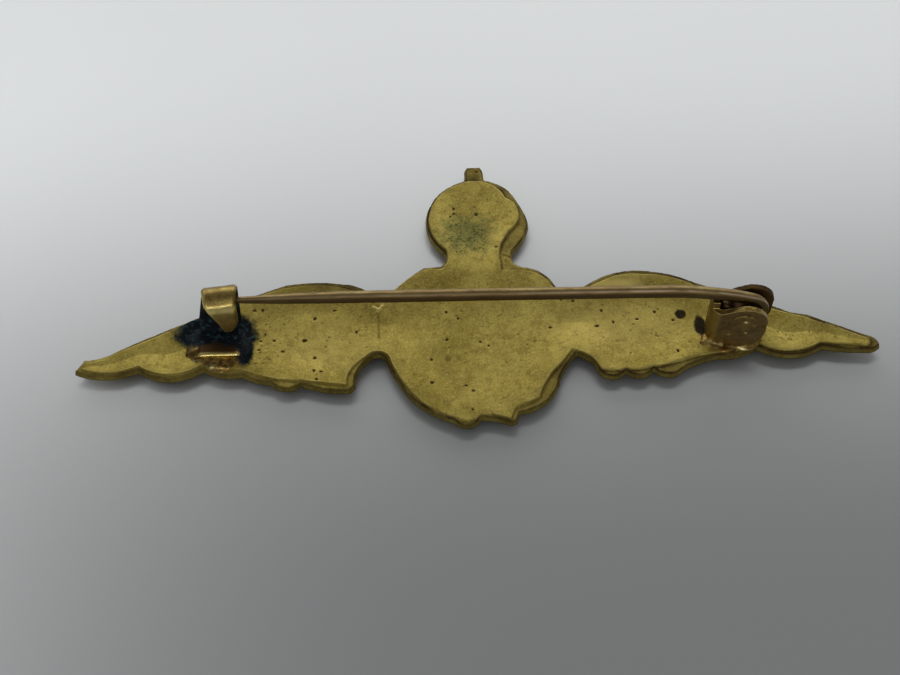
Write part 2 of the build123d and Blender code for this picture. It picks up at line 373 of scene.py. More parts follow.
def plate_brass():
    """Struck brass, gone olive and brown, with dirt in its hollows, painted shade and highlights, a green
    stain and burnt residue.
    """
    n = Nodes("aged plate brass")
    colour = n.mix(n.ramp(n.speckle(0.35, 4, 0.6), 0.32, 0.68), (0.355, 0.275, 0.056), (0.51, 0.405, 0.098))
    mottle = n.speckle(1.6, 6, 0.72)
    colour = n.mix(n.ramp(mottle, 0.46, 0.72, 0.0, 0.5), colour, (0.22, 0.15, 0.036))
    freckle = n.speckle(6, 4, 0.75)
    colour = n.mix(n.ramp(freckle, 0.53, 0.66, 0.0, 0.55), colour, (0.17, 0.115, 0.032))
    colour = n.mix(n.ramp(freckle, 0.47, 0.33, 0.0, 0.6), colour, (0.70, 0.57, 0.17))
    colour = n.mix(n.ramp(n.speckle(4.3, 2, 0.9), 0.68, 0.74, 0.0, 0.75), colour, (0.05, 0.03, 0.012))
    # bright where worn and where highlights are painted, dark where dirty and where shade is painted
    colour = n.mix(n.painted("polish"), colour, (0.72, 0.57, 0.18))
    colour = n.mix(n.painted("grime"), colour, (0.075, 0.045, 0.013))
    colour = n.mix(n.painted("verdigris"), colour, (0.15, 0.185, 0.07))
    flecks = n.ramp(n.speckle(5.5, 3, 0.7), 0.52, 0.62, 0.0, 1.15)
    flecks = n.math("MULTIPLY", n.painted("verdigris"), flecks)
    colour = n.mix(flecks, colour, (0.035, 0.045, 0.02))
    colour = n.sooted(colour)
    rough = n.ramp(mottle, 0.3, 0.8, 0.44, 0.62)
    rough = n.shifted(rough, grime=0.22, verdigris=0.25, soot=0.2)
    metal = n.shifted(1.0, True, grime=-0.45)
    metal = n.math("MULTIPLY", metal, n.ramp(n.painted("soot"), 0.2, 0.9, 1.0, 0.35))
    grain = n.bump(n.speckle(7, 5, 0.65), 0.014)
    grain = n.bump(n.speckle(18, 2, 0.5, (1, 0.35, 1)), 0.004, under=grain)
    return n.finish(colour, rough, metal, grain, 0.12)


def strip_brass():
    """Rolled strip, with painted highlights on its bends and edges, and brown where it isn't touched."""
    n = Nodes("rolled strip brass")
    colour = n.mix(n.ramp(n.speckle(0.9, 4, 0.6), 0.35, 0.7), (0.30, 0.21, 0.06), (0.44, 0.33, 0.10))
    brown = n.speckle(2.2, 5, 0.7)
    colour = n.mix(n.ramp(brown, 0.48, 0.68, 0.0, 0.75), colour, (0.14, 0.085, 0.03))
    streaks = n.speckle(5, 4, 0.7, (0.25, 1, 1))
    colour = n.mix(n.ramp(streaks, 0.52, 0.68, 0.0, 0.5), colour, (0.62, 0.50, 0.16))
    # bright where highlights are painted, dark where dirty and where shade is painted
    colour = n.mix(n.painted("polish"), colour, (0.92, 0.74, 0.27))
    colour = n.mix(n.painted("grime"), colour, (0.08, 0.042, 0.014))
    colour = n.sooted(colour)
    rough = n.ramp(brown, 0.3, 0.8, 0.28, 0.46)
    rough = n.shifted(rough, grime=0.18, polish=-0.16, soot=0.35)
    metal = n.shifted(1.0, True, grime=-0.3)
    metal = n.math("MULTIPLY", metal, n.ramp(n.painted("soot"), 0.2, 0.9, 1.0, 0.3))
    grain = n.bump(n.speckle(7, 4, 0.6), 0.010)
    return n.finish(colour, rough, metal, grain, 0.12)


def wire_brass():
    """Drawn wire: fine lines along it, painted shade on its lower side and a painted highlight line along
    it.
    """
    n = Nodes("drawn wire brass")
    tone = n.speckle(1.2, 4, 0.6, (0.3, 1, 1))
    colour = n.mix(n.ramp(tone, 0.35, 0.7), (0.26, 0.175, 0.072), (0.37, 0.275, 0.115))
    brown = n.speckle(3.0, 4, 0.7, (0.35, 1, 1))
    colour = n.mix(n.ramp(brown, 0.5, 0.72, 0.0, 0.55), colour, (0.13, 0.075, 0.04))
    # painted shade on the lower side and where hidden, then a painted highlight line
    colour = n.mix(n.painted("grime"), colour, (0.13, 0.078, 0.03))
    colour = n.mix(n.painted("polish"), colour, (0.80, 0.60, 0.42))
    rough = n.ramp(brown, 0.3, 0.8, 0.36, 0.5)
    lines = n.bump(n.speckle(16, 3, 0.6, (0.04, 1, 1)), 0.002)
    return n.finish(colour, rough, 1.0, lines)


def flux_residue():
    """Blue-black flux residue with teal in it, and bare solder where brass is painted."""
    n = Nodes("catch flux residue")
    lumps = n.speckle(1.8, 4, 0.6)
    colour = n.mix(n.ramp(lumps, 0.45, 0.68), (0.005, 0.007, 0.011), (0.012, 0.03, 0.04))
    teal = n.speckle(3.5, 3, 0.55)
    colour = n.mix(n.ramp(teal, 0.56, 0.72, 0.0, 0.7), colour, (0.04, 0.10, 0.11))
    solder = n.mix(n.ramp(n.speckle(2.4, 4, 0.6), 0.4, 0.66), (0.13, 0.075, 0.022), (0.36, 0.25, 0.075))
    # painted glints on the bare solder
    solder = n.mix(n.painted("glint"), solder, (0.95, 0.80, 0.36))
    colour = n.mix(n.painted("brass"), colour, solder)
    rough = n.ramp(n.painted("brass"), 0.2, 0.9, 0.72, 0.3)
    metal = n.math("MULTIPLY", n.painted("brass"), 0.95)
    grain = n.bump(n.speckle(6, 4, 0.65), 0.03)
    return n.finish(colour, rough, metal, grain, 0.2)


def joint_solder_metal():
    """Solder run round the joint, brown and bronze with a painted highlight along its lip."""
    n = Nodes("joint solder")
    lumps = n.speckle(1.5, 4, 0.6)
    colour = n.mix(n.ramp(lumps, 0.4, 0.7), (0.20, 0.115, 0.03), (0.42, 0.29, 0.085))
    # painted glints along the lip
    colour = n.mix(n.painted("glint"), colour, (1.0, 0.86, 0.42))
    colour = n.mix(n.painted("grime"), colour, (0.03, 0.02, 0.012))
    rough = n.ramp(lumps, 0.3, 0.7, 0.28, 0.46)
    metal = n.shifted(1.0, True, grime=-0.5)
    grain = n.bump(n.speckle(5, 4, 0.6), 0.012)
    return n.finish(colour, rough, metal, grain, 0.15)


# ---- the struck plate

rim = Outline(node_loop("badge_plate", relief_depth, -1))
field = Outline(node_loop("badge_plate", back_z, 1))

# Pits in the back: place and radius
pits = [
    (-16.2, -1.6, 0.16), (-16.8, -1.6, 0.14), (-12.2, -2.5, 0.17), (-10.7, -1.8, 0.13), (-15.2, -4.4, 0.14),
    (-12.9, -4.5, 0.21), (-9.0, -3.9, 0.15), (-16.2, -4.4, 0.13), (-15.9, -3.8, 0.12), (-16.3, -5.2, 0.13),
    (-14.5, -5.4, 0.14), (-12.1, -6.1, 0.15), (-12.1, -7.3, 0.14), (-11.6, -7.4, 0.12), (-11.9, -8.1, 0.13),
    (-2.2, -2.3, 0.13), (-1.3, -2.9, 0.12), (-2.2, -4.8, 0.15), (-3.4, -6.6, 0.15), (-3.4, -8.7, 0.16),
    (-0.9, -9.0, 0.13), (-0.4, -9.5, 0.12), (-0.5, -11.2, 0.13), (0.3, -5.1, 0.12), (0.9, -5.5, 0.12),
    (5.6, -4.1, 0.13), (6.6, -1.6, 0.14), (7.5, -1.8, 0.12), (9.1, -4.1, 0.17), (9.6, -2.7, 0.15),
    (10.4, -3.8, 0.14), (12.2, -3.6, 0.14), (13.6, -3.0, 0.14), (14.9, -3.8, 0.14), (14.9, -6.7, 0.15),
    (0.5, 7.3, 0.2), (-1.3, 7.9, 0.14), (-1.3, 7.4, 0.13), (-1.6, 7.1, 0.12), (0.7, 11.9, 0.13),
    (1.9, 3.8, 0.14),
]
# Clusters of fine pits: place, radius, how many
pit_clusters = [
    ((-16.1, -6.1), 0.7, 16), ((2.3, -5.4), 0.5, 7), ((-15.0, -4.0), 2.0, 22), ((-10.5, -4.0), 3.0, 16),
    ((10.5, -4.0), 3.6, 26), ((22.5, -4.4), 2.2, 40), ((25.5, -5.4), 1.6, 22), ((0.0, -6.0), 4.5, 26),
    ((0.4, 7.0), 2.6, 18), ((14.8, -5.5), 1.8, 14), ((-0.3, 5.0), 1.9, 70), ((2.6, 2.7), 0.5, 14),
]
# Scratches: start, end, width of the raised metal and of the bright streak
scratches = [((-7.9, -1.6), (-7.1, -2.05), 0.14, 0.2), ((-7.5, -2.2), (-6.95, -1.5), 0.13, 0.18)]


def plate_marks(points):
    """How deep the marks in the back are, and how dirty they are."""
    random = np.random.default_rng(7)
    spots = [(x, y, radius, 1.0) for x, y, radius in pits]
    for (x, y), spread, count in pit_clusters:
        for _ in range(count):
            angle = random.uniform(0, 2 * math.pi)
            reach = spread * math.sqrt(random.uniform(0, 1))
            place = (x + reach * math.cos(angle), y + reach * math.sin(angle))
            spots.append((*place, random.uniform(0.05, 0.09), random.uniform(0.25, 0.7)))
    depth, dirt = np.zeros((2, len(points)))
    ragged = 0.25 * noise(points[:, :2], 0.11, 9)
    for x, y, radius, strength in spots:
        stretch = random.uniform(0.75, 1.35)
        reach = (1.4 * radius * stretch, 1.4 * radius / stretch)
        near = np.flatnonzero(np.abs(points[:, :2] - (x, y)).max(1) < 3 * radius)
        depth[near] += 0.06 * strength * bump(points[near], (x, y), 1.1 * radius)
        stain = smooth(0.2, 0.55, bump(points[near], (x, y), reach) + ragged[near])
        dirt[near] = np.maximum(dirt[near], strength * stain)
    return depth, dirt


def edge_rounding(rim_depth):
    """How much is worn off the trimmed edge, at these depths inside it."""
    round_in = np.clip(1 - rim_depth / edge_radius, 0, 1)
    return edge_radius * (1 - np.sqrt(np.clip(1 - round_in ** 2, 0, 1)))


def back_surface(points, rim_depth, field_depth):
    """Height of the plate's back: a worn rim, a ledge and a raised field that is gently hollow."""
    x, y = points[:, 0], points[:, 1]
    low_side = smooth(-5.0, -6.2, y) * smooth(6.2, 7.4, np.abs(x))  # the ledge fades at the feathers' ends
    step_place = field_depth + 0.12 * low_side * (x < 0) + 0.05 * noise(points, 0.9, 3)
    raised = smooth(-0.09, 0.05, step_place)
    z = rim_z + (back_z - rim_z) * np.maximum(raised, 0.3 * low_side)
    z -= 0.22 * smooth(0.0, 3.2, rim_depth)  # the back is gently hollow
    z -= 0.10 * bump(points, (0, -5.5), (6.5, 5.5))
    z += 0.016 * fractal(points, 2.6, 11) + 0.005 * fractal(points, 0.7, 17)
    z -= 0.02 * band(points, (-7.35, -1.6), (-7.3, -6.2), 0.14)  # a line left by the die
    z += 0.06 * sum(band(points, start, end, width) for start, end, width, _ in scratches)
    return z - edge_rounding(rim_depth)


# Front relief. The wings' flight feathers end at the middles of the rim's scallops.
feather_tips = {
    1: [(9.9, -8.4), (12.0, -8.4), (14.1, -8.4), (16.6, -7.3), (19.4, -6.9), (23.3, -7.0), (28.6, -6.8)],
    -1: [(-9.7, -8.7), (-11.5, -8.6), (-14.2, -8.3), (-16.4, -7.6), (-18.9, -7.1), (-22.7, -7.1),
         (-28.6, -6.6)],
}
wreath_y, wreath_radius = -5.2, 6.9  # the wreath is on the badge's middle line
disc_radius = 3.75
crown_x, crown_y = 0.45, 6.9


def feather(points, root, tip, width, lift, height):
    """One feather in relief, with its shaft and barbs. Overlapped feathers lie lower on one side."""
    along, across, length = along_line(points, root, tip)
    along = along / length
    half = width * np.sqrt(np.clip(1 - np.clip((along - 0.62) / 0.38, 0, 1) ** 2.6, 0, 1))
    half = half * (0.75 + 0.25 * smooth(0, 0.4, along))
    side = across / np.maximum(half, 0.001)
    inside = (along > -0.05) & (along < 1) & (np.abs(side) < 1)
    dome = np.sqrt(np.clip(1 - side ** 2, 0, 1))
    shaft = ridge(across, 0, 0.09) * smooth(1.0, 0.85, along)
    barbs = np.sin((along * length + np.abs(across) * 0.9) * 2 * math.pi / 0.42)
    z = lift + height * dome ** 0.7 * (0.82 + 0.18 * side) + 0.07 * shaft + 0.018 * barbs * dome
    return np.where(inside, z, 0)


def front_relief(points, rim_depth):
    """Height of the front's relief over the plate, from 0 to the relief's depth."""
    z = np.full(len(points), 0.08) + 0.05 * smooth(0.1, 0.5, rim_depth)
    for side, tips in feather_tips.items():
        shoulder = np.array([side * 13.6, 0.2])
        for number, tip in enumerate(tips):
            share = number / (len(tips) - 1)
            arch = math.sin(math.pi * share)
            root = (side * (8.6 + 6.2 * share), -1.0 + arch)
            lower = feather(points, root, tip, 0.85 + 0.75 * share, 0.22, 0.24 - 0.03 * (number % 2))
            root = np.array([side * (8.6 + 5.4 * share), -0.9 + arch])
            middle = root + (tip - root) * (0.56 - 0.08 * share)
            covert = feather(points, root, middle, 0.95 + 0.35 * share, 0.38, 0.22)
            z = np.maximum(z, np.maximum(lower, covert))
        for number in range(9):
            share = number / 8
            lift = 0.55 * math.sin(math.pi * share) - 0.2 - 0.6 * share
            root = np.array([side * (8.4 + 8.8 * share), lift])
            tip = root + (side * (0.25 + 1.5 * share), -1.9 + 0.4 * share)
            z = np.maximum(z, feather(points, root, tip, 0.72, 0.52, 0.2))
        arm = band(points, shoulder + (-5.2 * side, -0.5), shoulder + (13.5 * side, -5.6), 1.0)
        z = np.maximum(z, np.where(arm > 0.02, 0.5 + 0.36 * np.sqrt(arm), 0))
    return z


def wreath_relief(points):
    """A ring of laurel leaves round a domed disc that carries a plain eight-pointed compass star."""
    away = points - np.array([0, wreath_y])
    radius = np.hypot(*away.T)
    angle = np.arctan2(away[:, 0], -away[:, 1])  # 0 at the bottom, where the stems cross
    z = np.zeros(len(points))
    for side in (-1, 1):
        for row, (reach, lean) in enumerate(((5.0, 0.55), (6.05, 0.25), (4.35, 0.8))):
            for leaf in range(11):
                turn = side * (0.16 + (leaf + 0.33 * row) * 0.275)
                root = np.array([math.sin(turn), -math.cos(turn)]) * reach * 0.97
                heading = turn + side * (math.pi / 2 - lean * 0.6)
                tip = root + 1.75 * np.array([math.sin(heading), -math.cos(heading)])
                z = np.maximum(z, feather(away, root, tip, 0.42, 0.42 - 0.07 * row, 0.3))
    z = np.where(radius < disc_radius, 0.30 + 0.12 * np.cos(radius / disc_radius * math.pi / 2), z)
    ring = ridge(radius, disc_radius, 0.16)
    z = np.maximum(z, 0.62 * (ring > 0.15) * ring ** 0.4)
    for points_of, reach in ((0, 3.0), (math.pi / 4, 1.9)):
        fold = np.mod(angle + points_of + math.pi / 4, math.pi / 2) - math.pi / 4
        edge = 0.62 * np.clip(1 - radius / reach, 0, 1)
        inner = radius * np.abs(np.sin(fold))
        star = np.clip(1 - inner / np.maximum(edge, 0.001), 0, 1) * (radius * np.cos(fold) < reach)
        ray = 0.42 + 0.40 * star * np.clip(1.1 - radius / reach, 0, 1) ** 0.5
        z = np.maximum(z, np.where(star > 0, ray, 0))
    return z


def crown_relief(points):
    """A plain crown: a jewelled circlet, arched ribs with beads over a cap, and a small block on top."""
    x, y = points[:, 0] - crown_x, points[:, 1] - crown_y
    radius = np.hypot(x, y)
    cap = np.clip(1 - (radius / 4.0) ** 2, 0, 1)
    z = np.where(cap > 0, 0.2 + 0.4 * np.sqrt(cap), 0)
    for reach in (3.3, 1.5, 0.0):
        place = np.abs(x) - reach * np.sqrt(np.clip(1 - (y / 3.9) ** 2, 0, 1))
        rib = ridge(place, 0, 0.28) * (np.abs(y) < 3.6)
        beads = 0.10 * np.clip(np.cos(y * 2 * math.pi / 0.85), 0, 1) * ridge(place, 0, 0.2)
        z = np.maximum(z, np.where(rib > 0.2, 0.32 + 0.42 * rib ** 0.5 + beads, 0))
    for low, high, top in ((-5.0, -3.2, 0.55), (-3.45, -3.15, 0.72), (-5.0, -4.7, 0.72)):
        bar = smooth(low, low + 0.12, y) * (1 - smooth(high - 0.12, high, y)) * (np.abs(x) < 2.75)
        z = np.maximum(z, top * bar)
    for number in range(-2, 3):
        z = np.maximum(z, 0.55 + 0.30 * bump(points, (crown_x + number * 1.05, 2.85), (0.42, 0.36)))
        z = np.where(np.abs(y) > 5.6, np.minimum(z, 0.5), z)
    block = (np.abs(x) < 0.5) * (y > 3.8)
    z = np.maximum(z, np.where(block, 0.5 + 0.2 * ridge(y, 4.7, 0.35), 0))
    return z


def front_surface(points, rim_depth):
    """Height of the plate's front side. It rests on the relief's highest points."""
    x, y = points[:, 0], points[:, 1]
    relief = front_relief(points, rim_depth)
    in_wreath = np.hypot(x, y - wreath_y) < wreath_radius
    in_crown = y > 1.6 + 0.25 * np.abs(x)
    relief = np.where(in_wreath & ~in_crown, wreath_relief(points), relief)
    relief = np.where(in_crown & (np.abs(x) < 6), crown_relief(points), relief)
    relief = np.clip(relief, 0.05, relief_depth - 0.04)
    relief *= smooth(0.02, 0.5, rim_depth)
    relief += 0.012 * fractal(points, 0.5, 41) * smooth(0, 0.3, rim_depth)
    return relief_depth - relief + edge_rounding(rim_depth)


def plate_net():
    """A flat net of triangles inside the rim, finest at its edge. Also the rim as used, and its normals."""
    edge, normals = resampled(rim.loop, mesh_pitch * 1.3)
    wobble = 0.03 * fractal(edge, 0.7, 5) + 0.015 * noise(edge, 0.2, 8)
    edge = edge + normals * (wobble - 0.03)[:, None]
    outline = Outline(edge)
    loops = [edge]
    for inset in edge_rings:
        ring = edge - normals * inset
        loops.append(ring[outline.depth(ring) > inset * 0.9])
    low, high = edge.min(0), edge.max(0)
    rows = np.arange(low[1], high[1], mesh_pitch * 0.87)
    columns = np.arange(low[0], high[0], mesh_pitch)
    x, y = np.meshgrid(columns, rows)
    x[1::2] += mesh_pitch / 2
    net = np.stack([x.ravel(), y.ravel()], 1)
    net = net[outline.inside(net)]
    net = net[outline.depth(net) > edge_rings[-1] + mesh_pitch * 0.5]
    count = len(edge)
    ring_edges = [(i, (i + 1) % count) for i in range(count)]
    flat = [Vector(p) for p in np.concatenate(loops + [net])]
    made = geometry.delaunay_2d_cdt(flat, ring_edges, [list(range(count))], 1, 1e-7)
    plan = np.array([tuple(v) for v in made[0]])
    faces = np.array([f for f in made[2] if len(f) == 3])
    return plan, faces, outline, normals


def leaned_in(plan, rim_depth, outline, normals):
    """The net's points for the back, moved inwards near the rim so that its wall leans."""
    near = np.flatnonzero(rim_depth < lean_reach)
    inward = outline.inward(plan[near])
    corners = tree_of(outline.loop)
    for row, index in enumerate(near):
        if rim_depth[index] < 0.02:
            inward[row] = -normals[corners.find((*plan[index], 0))[1]]
    moved = plan.copy()
    moved[near] += inward * edge_lean * (1 - rim_depth[near] / lean_reach)[:, None]
    return moved


def build_plate():
    """Both faces share one net of triangles, closed by a wall round the rim."""
    plan, faces, outline, normals = plate_net()
    border = find_border(faces)
    rim_depth = np.maximum(outline.depth(plan), 0)
    rim_depth[border] = 0
    field_depth = field.depth(plan)
    pit_depth, pit_dirt = plate_marks(plan)
    top = back_surface(plan, rim_depth, field_depth) - pit_depth
    bottom = front_surface(plan, rim_depth)
    back_plan = leaned_in(plan, rim_depth, outline, normals)
    size, around = len(plan), len(border)
    shares = np.arange(1, wall_levels) / wall_levels
    back, front = np.column_stack([back_plan, top]), np.column_stack([plan, bottom])
    wall = [front[border] * (1 - share) + back[border] * share for share in shares]
    points = np.concatenate([back, front] + wall)
    levels = [2 * size + around * n + np.arange(around) for n in range(len(shares))]
    shells = [size + border, *levels, border]
    quads = []
    for low, up in zip(shells, shells[1:]):
        quads += np.column_stack([low, np.roll(low, -1), np.roll(up, -1), up]).tolist()
    all_faces = faces.tolist() + (faces[:, ::-1] + size).tolist() + quads
    piece = make_piece("struck_plate", points, all_faces, plate_brass(), "badge")
    # dirt on the rim's wall, with painted shade deepening towards the back, away from the floor
    wall_grime = 0.25 + 0.45 * np.repeat(shares, around) + 0.25 * fractal(points[2 * size:, :2], 0.8, 31)
    paint_plate(piece, plan, rim_depth, field_depth, pit_dirt, relief_depth - bottom, wall_grime)
    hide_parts("badge_plate")


def paint_plate(piece, plan, rim_depth, field_depth, pit_dirt, relief, wall_grime):
    """Dirt in hollows, on the ledge and the rim's wall, painted shade and highlights, and wear on what
    stands proud.
    """
    x, y = plan.T
    patchy = 0.5 + 0.5 * fractal(plan, 1.2, 23)
    near_edge = 1 - smooth(0.05, 0.35, rim_depth)
    burnt = soot_mask(plan, burnt_spots)

    # Dirt in the pits and marks and near the edge; painted shade along the very edge and in the needle's
    # shadow
    grime = 1.1 * pit_dirt + 1.2 * burnt
    grime += 0.4 * band(plan, (-7.35, -2.2), (-7.3, -4.7), 0.16)  # the line left by the die
    # painted shade: a dark line along the very edge
    grime += 0.42 * (1 - smooth(0.03, 0.13, rim_depth)) * (0.25 + patchy)
    grime += 0.25 * near_edge * patchy
    grime += 0.3 * (1 - smooth(0.0, 0.35, np.abs(field_depth + 0.05))) * patchy
    # painted shade: the needle's shadow across the wings
    grime += 0.3 * (smooth(-4.5, -1.5, y) * (np.abs(x) < 17) * smooth(2.5, 0.5, y)) * patchy
    # On the ledge outside the raised field
    ledge_dirt = 0.28 + 0.27 * smooth(4, 6, x) + 0.2 * smooth(3, 4, y)
    ledge = ledge_dirt * smooth(0.02, -0.1, field_depth) * (0.3 + patchy)
    ledge += 0.32 * ridge(field_depth, -0.1, 0.07) * patchy
    grime += ledge * np.where((x < -6) & (y < -4), 0.35, 1)
    # Stains on the crown's block, painted shade on the left wing's top, darker at the right wing's tip,
    # stains at a spot and the crown's left
    grime += 0.5 * bump(plan, (0.5, 11.1), (1.0, 0.8)) * patchy
    grime += 0.4 * bump(plan, (-10, 0.4), (6.0, 1.4))
    grime += 0.3 * bump(plan, (26.5, -4.6), (3.5, 1.5)) * (0.5 + patchy)
    grime += 0.35 * smooth(0.3, 0.6, bump(plan, (-2.2, -6.5), (0.5, 0.6)))
    grime += 0.3 * patchy * smooth(-2.4, -3.2, x) * smooth(3.0, 5.0, y)
    front_grime = 0.75 * (1 - smooth(0.05, 0.5, relief)) + 0.25 * (0.5 + 0.5 * fractal(plan, 0.8, 29))

    # wear, and painted highlights: first a lighter patch on the right wing's top
    polish = bump(plan, (11.2, -0.25), (2.8, 0.6)) + 0.35 * bump(plan, (11.6, 0.5), (4.0, 0.7))
    polish += 0.25 * near_edge * (1 - patchy)
    # painted highlight along the raised field's edge
    polish += 0.75 * ridge(field_depth, 0.07, 0.06) * smooth(0.3, 0.7, patchy)
    # painted highlights: soft light patches in the middle of each wing
    polish += 0.3 * bump(plan, (10.5, -4.2), (8.0, 3.6)) + 0.25 * bump(plan, (-10.5, -5.6), (7.0, 3.0))
    polish += sum(1.5 * band(plan, start, end, width) for start, end, _, width in scratches)
    # painted glints along the far edges
    polish += 0.9 * near_edge * (fractal(plan, 0.35, 33) > 0.28) * (y > -3)
    polish += 0.7 * bump(plan, (-16.6, -2.0), (0.9, 0.35)) * (fractal(plan, 0.3, 27) > 0.1)

    green = bump(plan, (-0.4, 5.3), (4.2, 4.0)) + 0.3 * fractal(plan, 0.5, 37)
    none, no_wall = np.zeros(len(plan)), np.zeros(len(wall_grime))
    paint(
        piece,
        grime=np.concatenate([grime, front_grime, wall_grime]),
        polish=np.concatenate([polish, 0.55 * smooth(0.5, 0.9, relief), no_wall]),
        verdigris=np.concatenate([0.55 * smooth(0.15, 1.0, green), none, no_wall]),
        soot=np.concatenate([soot_mask(plan) + 0.45 * burnt, none, no_wall]),
    )


def find_border(faces):
    """The points round the outside of a net of triangles, in order."""
    sides = np.concatenate([faces[:, [0, 1]], faces[:, [1, 2]], faces[:, [2, 0]]])
    keys = {(a, b) for a, b in sides.tolist()}
    follow = {a: b for a, b in keys if (b, a) not in keys}
    loop = [next(iter(follow))]
    while follow[loop[-1]] != loop[0]:
        loop.append(follow[loop[-1]])
    return np.array(loop)


# ---- findings

# Lumps on the front of the ear: place across and up, and reach. The first two carry painted glints.
ear_lumps = [
    ((19.45, 4.75), (0.34, 0.2)), ((19.6, 3.5), (0.24, 0.16)),
    ((18.5, 3.0), (0.5, 0.4)), ((20.1, 4.2), (0.3, 0.4)),
]


def carry_over(node, material, pitch):
    """A CAD node's shape with worn edges: remeshed finely, smoothed, and dented a little."""
    source = frame["nodes"][node]
    helper = placed(node + "_helper", source.data.copy())
    remesh = helper.modifiers.new("remesh", "REMESH")
    remesh.mode, remesh.voxel_size = "VOXEL", pitch * MM
    relax = helper.modifiers.new("relax", "SMOOTH")
    relax.iterations, relax.factor = 2, 0.5
    shaped = helper.evaluated_get(bpy.context.evaluated_depsgraph_get()).data
    points = np.array([tuple(v.co) for v in shaped.vertices]) / MM
    normals = np.array([tuple(v.normal) for v in shaped.vertices])
    faces = [tuple(p.vertices) for p in shaped.polygons]
    bpy.data.objects.remove(helper)
    dents = 0.03 * fractal(points, 0.9, 51) + 0.008 * fractal(points, 0.25, 53)
    along_pin = (points - rivet_at) @ rivet_axis
    if node == "joint_rivet":  # the head is hammered nearly flush
        points = points + rivet_axis * (0.9 * np.clip(-1.4 - along_pin, 0, None))[:, None]
    in_front = (along_pin < -1.0) * smooth(0.5, 0.9, -normals[:, 1])
    for place, reach in ear_lumps:
        dents += 0.11 * bump(points[:, [0, 2]], place, reach) * in_front
    points = points + normals * dents[:, None]
    piece = make_piece("worn_" + node, points, faces, material, source["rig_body"])
    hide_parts(node)
    return piece, points, normals


# The catch's strip, from the front of its foot to the tip of its tongue, as the plan of a sheet-metal part
strip_thick = 0.36
strip_middle = -18.25
strip_corner = 0.11  # rounding of its side edges
foot_front, riser_y, curl_y = -6.0, -3.25, -4.15
foot_lift = 0.3  # middle of the strip above the raised field
heel_radius, curl_radius, curl_lift = 0.6, 0.9, 4.7
catch_turn = math.radians(6)  # the riser is bent round from the foot
# Side edges of the strip against the distance along it
strip_edges = [
    (0.0, -20.75, -17.6), (2.6, -20.72, -17.6), (4.0, -20.55, -17.5), (6.6, -19.95, -17.3),
    (8.0, -19.72, -17.2), (9.2, -19.52, -17.24), (9.9, -19.3, -17.26), (10.6, -19.04, -17.3),
    (11.4, -18.8, -17.38), (12.0, -18.7, -17.58), (12.4, -18.62, -17.86), (12.6, -18.5, -18.08),
]


def strip_spine():
    """Middle line of the strip in the YZ plane: foot, heel, riser, curl and tongue."""
    heel_y, heel_z = riser_y - heel_radius, foot_lift + heel_radius
    spine = [(y, foot_lift) for y in np.linspace(foot_front, heel_y, 26)]
    for turn in np.linspace(-math.pi / 2, 0, 12)[1:]:
        spine.append((heel_y + heel_radius * math.cos(turn), heel_z + heel_radius * math.sin(turn)))
    spine += [(riser_y, z) for z in np.linspace(heel_z, curl_lift, 40)[1:]]
    for turn in np.linspace(0, math.pi, 44)[1:]:
        spine.append((curl_y + curl_radius * math.cos(turn), curl_lift + curl_radius * math.sin(turn)))
    length_left = strip_edges[-1][0] - sum(math.dist(a, b) for a, b in zip(spine, spine[1:]))
    for drop in np.linspace(0, length_left, 34)[1:]:
        spine.append((curl_y - curl_radius + 0.12 * drop ** 1.5 / 2, curl_lift - drop))
    return np.array(spine)


def loft_faces(rings, sides):
    """Faces between rings of points that follow one another, and a cap on each end."""
    faces = []
    for ring in range(rings - 1):
        for n in range(sides):
            a, b = ring * sides + n, ring * sides + (n + 1) % sides
            faces.append((a, b, b + sides, a + sides))
    faces.append(tuple(range(sides))[::-1])
    faces.append(tuple((rings - 1) * sides + n for n in range(sides)))
    return faces


